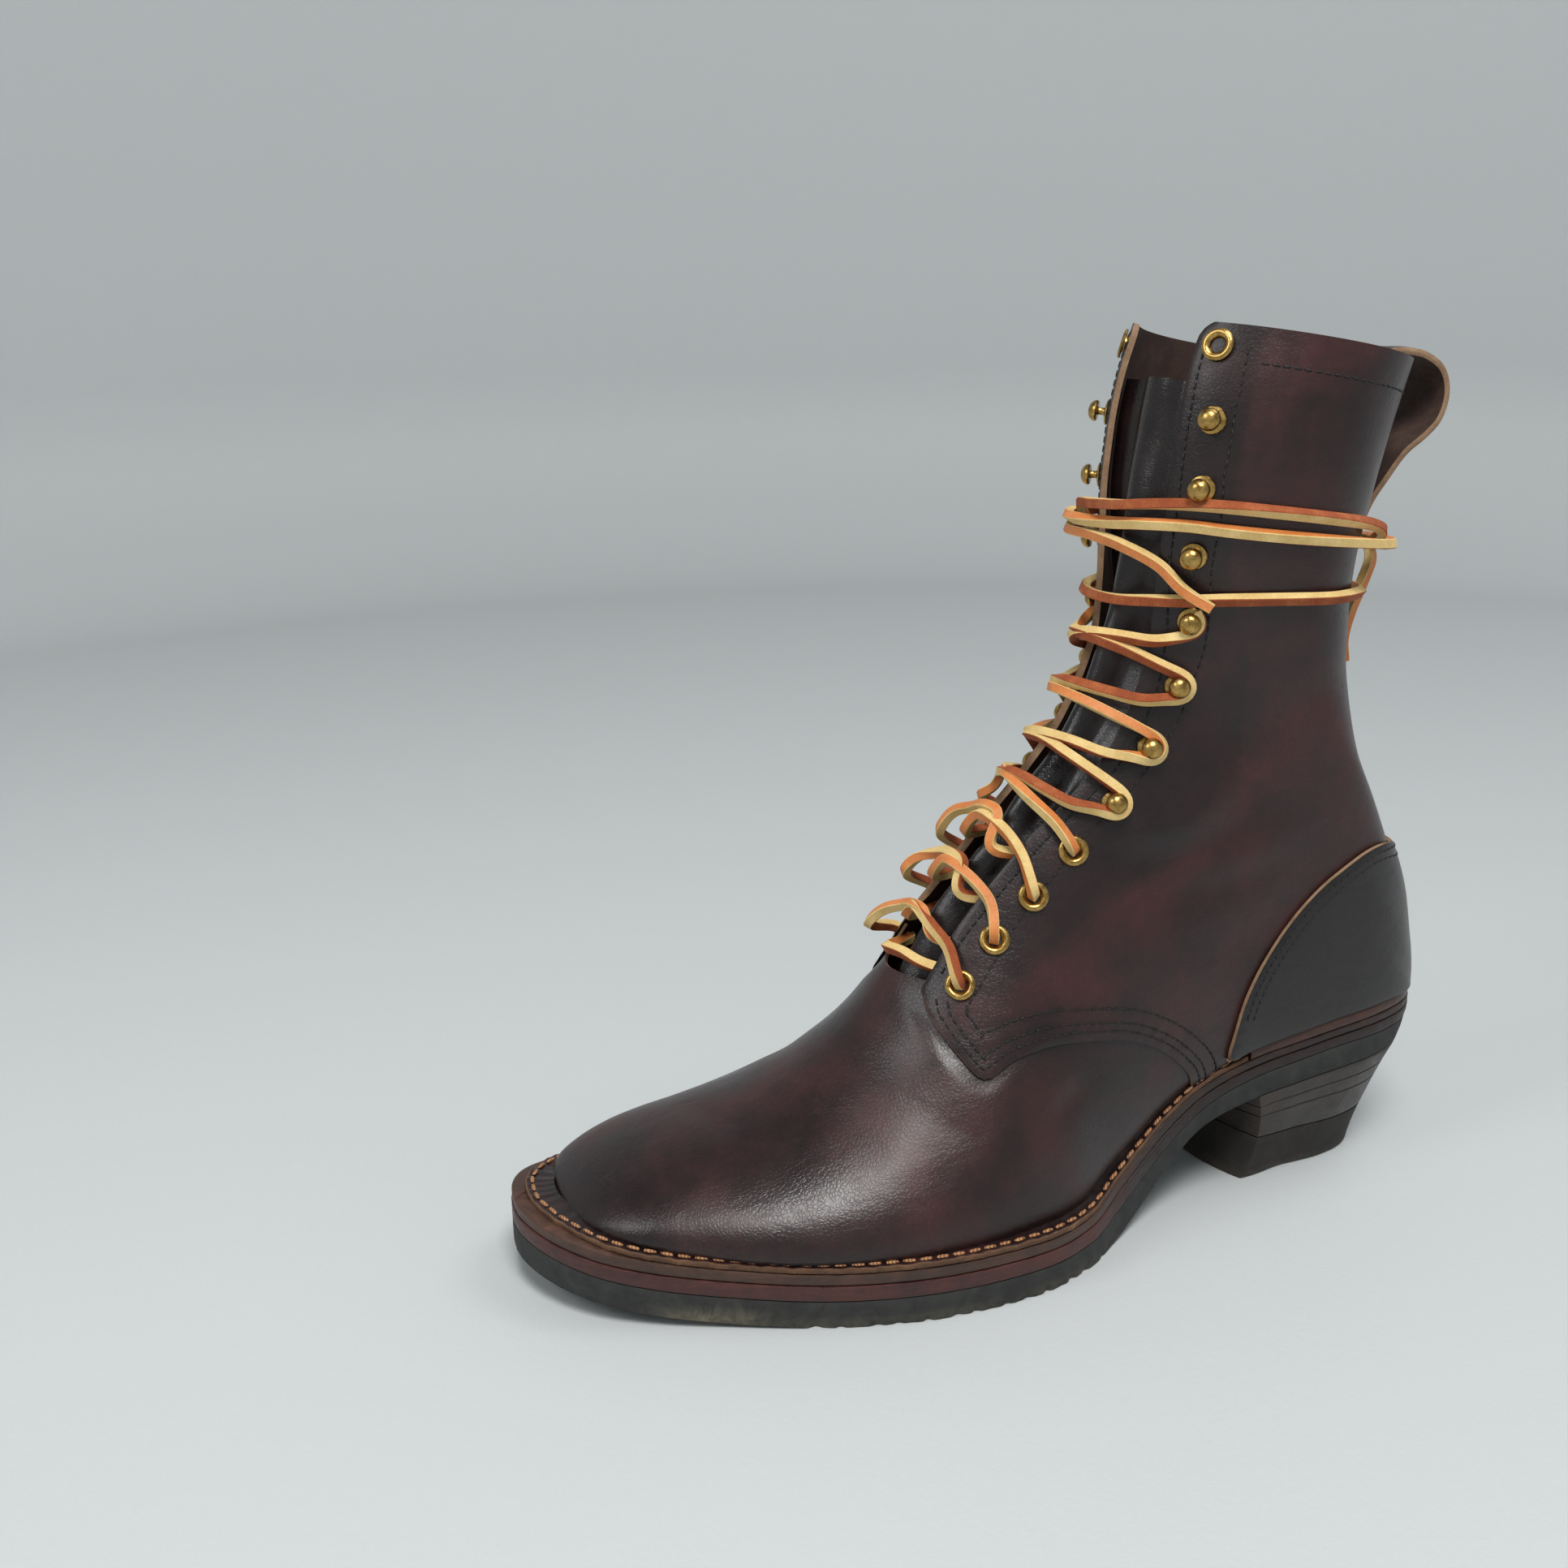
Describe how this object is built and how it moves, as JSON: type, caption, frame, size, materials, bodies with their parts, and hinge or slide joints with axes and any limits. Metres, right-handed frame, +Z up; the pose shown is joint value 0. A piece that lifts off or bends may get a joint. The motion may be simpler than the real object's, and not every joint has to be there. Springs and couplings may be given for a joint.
{
  "type": "laced packer boot",
  "caption": "Left laced packer boot in oxblood leather, with eyelets, lace hooks, stitchdown sole, undershot heel and pull strap.",
  "frame": {"origin": "on the ground under the middle of the heel", "axes": "+Z up, the toe towards -Y, the outer side of the left foot towards +X"},
  "size_m": [0.1161, 0.3408, 0.3022],
  "materials": {
    "sole_rubber": "matt grey-black rubber, dusty and scuffed at its lower edge",
    "slip_leather": "red-brown edge-finished sole leather",
    "mid_leather": "brown edge-finished sole leather with a worn top edge",
    "heel_leather": "dark stacked leather, smooth with fine layer lines",
    "insole_leather": "plain tan leather, dull",
    "upper_leather": "dark oxblood oiled leather, soft gloss with creases",
    "tongue_leather": "thin dark leather, soft gloss",
    "strap_leather": "dark leather with a raw tan edge",
    "counter_leather": "near-black smooth leather",
    "rand_leather": "brown edge-finished leather strip",
    "brass": "polished brass, lightly worn",
    "lace_leather": "square-cut leather lace, orange-tan and cream faces"
  },
  "bodies": {
    "root": {"outsole": "sole_rubber", "slip_sole": "slip_leather", "midsole": "mid_leather", "heel_base": "heel_leather", "top_lift": "sole_rubber", "insole": "insole_leather", "upper": "upper_leather", "tongue": "tongue_leather", "pull_strap": "strap_leather", "counter": "counter_leather", "heel_rand": "rand_leather", "eyelet_outer_1": "brass", "eyelet_outer_2": "brass", "eyelet_outer_3": "brass", "eyelet_outer_4": "brass", "hook_outer_5": "brass", "hook_outer_6": "brass", "hook_outer_7": "brass", "hook_outer_8": "brass", "hook_outer_9": "brass", "hook_outer_10": "brass", "hook_outer_11": "brass", "eyelet_outer_12": "brass", "eyelet_inner_1": "brass", "eyelet_inner_2": "brass", "eyelet_inner_3": "brass", "eyelet_inner_4": "brass", "hook_inner_5": "brass", "hook_inner_6": "brass", "hook_inner_7": "brass", "hook_inner_8": "brass", "hook_inner_9": "brass", "hook_inner_10": "brass", "hook_inner_11": "brass", "eyelet_inner_12": "brass", "lace_cross_1": "lace_leather", "lace_cross_2": "lace_leather", "lace_cross_3": "lace_leather", "lace_cross_4": "lace_leather", "lace_cross_5": "lace_leather", "lace_cross_6": "lace_leather", "lace_cross_7": "lace_leather", "lace_cross_0": "lace_leather", "lace_end_outer": "lace_leather", "lace_end_inner": "lace_leather"}
  },
  "joints": []
}
